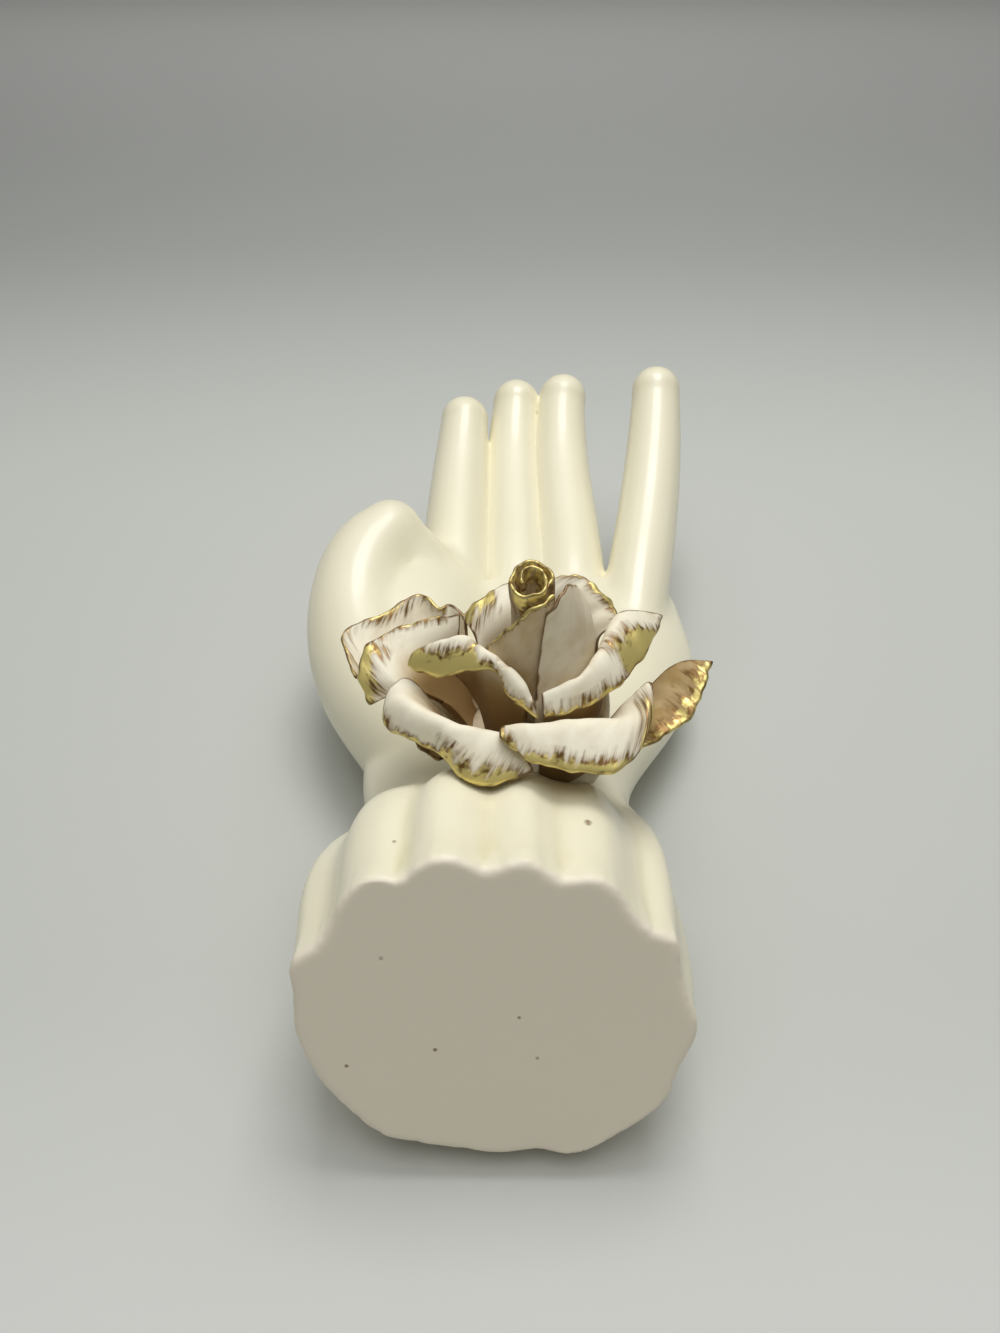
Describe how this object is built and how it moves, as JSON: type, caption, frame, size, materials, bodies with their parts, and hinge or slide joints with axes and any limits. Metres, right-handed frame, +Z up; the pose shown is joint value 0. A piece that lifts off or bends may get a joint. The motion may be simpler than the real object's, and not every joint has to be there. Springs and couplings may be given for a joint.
{
  "type": "ceramic hand sculpture",
  "caption": "Hollow glazed ceramic hand lying palm up on its back, with a fluted cuff closed by a flat base and a hand-built rose with gilded petal edges on the inner wrist.",
  "frame": {"origin": "on the floor under the middle of the bounding box, with the hand lying on its back as pictured", "axes": "+X across the hand towards the little finger, +Y from the cuff to the fingertips, +Z up out of the palm"},
  "size_m": [0.0947, 0.2042, 0.0804],
  "materials": {
    "glaze": "cream gloss glaze with a few iron specks",
    "petal": "unglazed bisque with gold lustre brushed over the petal edges"
  },
  "bodies": {
    "root": {"hand_shell": "glaze", "base_slab": "glaze", "rose_core": "petal", "bud_roll": "petal", "bud_wrap_left": "petal", "bud_wrap_right": "petal", "petal_back_left": "petal", "petal_back_right": "petal", "petal_right_inner": "petal", "petal_front_left_inner": "petal", "petal_left": "petal", "petal_left_outer": "petal", "petal_front_left": "petal", "petal_front_right": "petal", "petal_right": "petal", "petal_under_left": "petal"}
  },
  "joints": []
}
